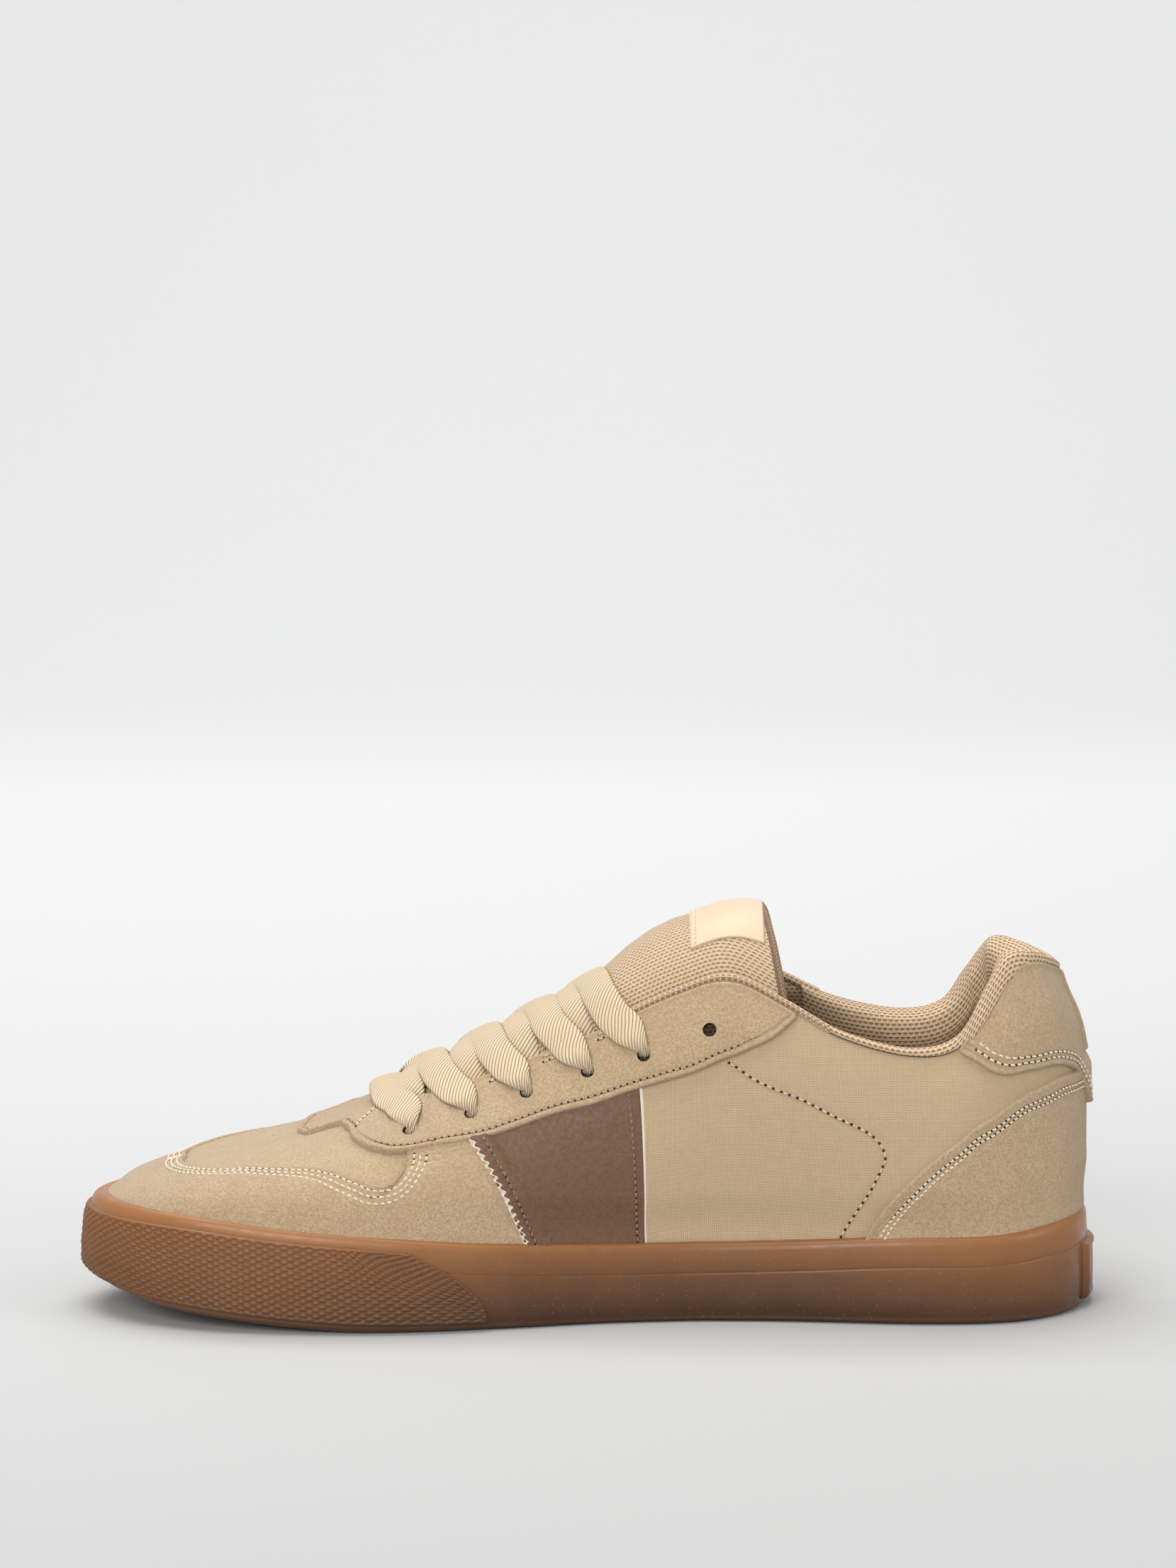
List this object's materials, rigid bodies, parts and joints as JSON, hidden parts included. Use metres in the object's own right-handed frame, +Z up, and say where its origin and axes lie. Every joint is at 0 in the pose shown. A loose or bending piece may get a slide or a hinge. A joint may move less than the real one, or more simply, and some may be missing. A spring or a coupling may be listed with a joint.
{
  "type": "skateboarding shoe",
  "caption": "Low lace-up skateboarding shoe with a gum cup sole, canvas upper, suede toe cap, lace panel and heel, and a padded tongue and collar.",
  "frame": {"origin": "middle of the bounding box in plan, on the floor under the sole", "axes": "+X to the heel and -X to the toe, -Y to the inner side of the foot, +Z up"},
  "size_m": [0.3, 0.1096, 0.1208],
  "materials": {
    "gum_rubber": "semi-gloss gum rubber",
    "canvas": "fine plain-weave canvas, matt",
    "suede": "napped suede, matt",
    "smooth_leather": "smooth leather, satin",
    "mesh_fabric": "spacer mesh over foam, matt",
    "satin_ribbon": "woven ribbon, soft sheen",
    "lace": "flat woven lace, matt",
    "footbed": "cloth-covered foam, matt"
  },
  "bodies": {
    "root": {"sole": "gum_rubber", "toe_bumper": "gum_rubber", "heel_plate": "gum_rubber", "insole": "footbed", "upper": "canvas", "toe_cap": "suede", "eyestay": "suede", "heel_counter": "suede", "collar_panel": "suede", "heel_tab": "suede", "side_panel_inner": "smooth_leather", "side_panel_outer": "smooth_leather", "tongue": "mesh_fabric", "collar_pad": "mesh_fabric", "tongue_label": "satin_ribbon", "lace_bar": "lace", "lace_cross_1": "lace", "lace_cross_2": "lace", "lace_cross_3": "lace", "lace_cross_4": "lace"}
  },
  "joints": []
}
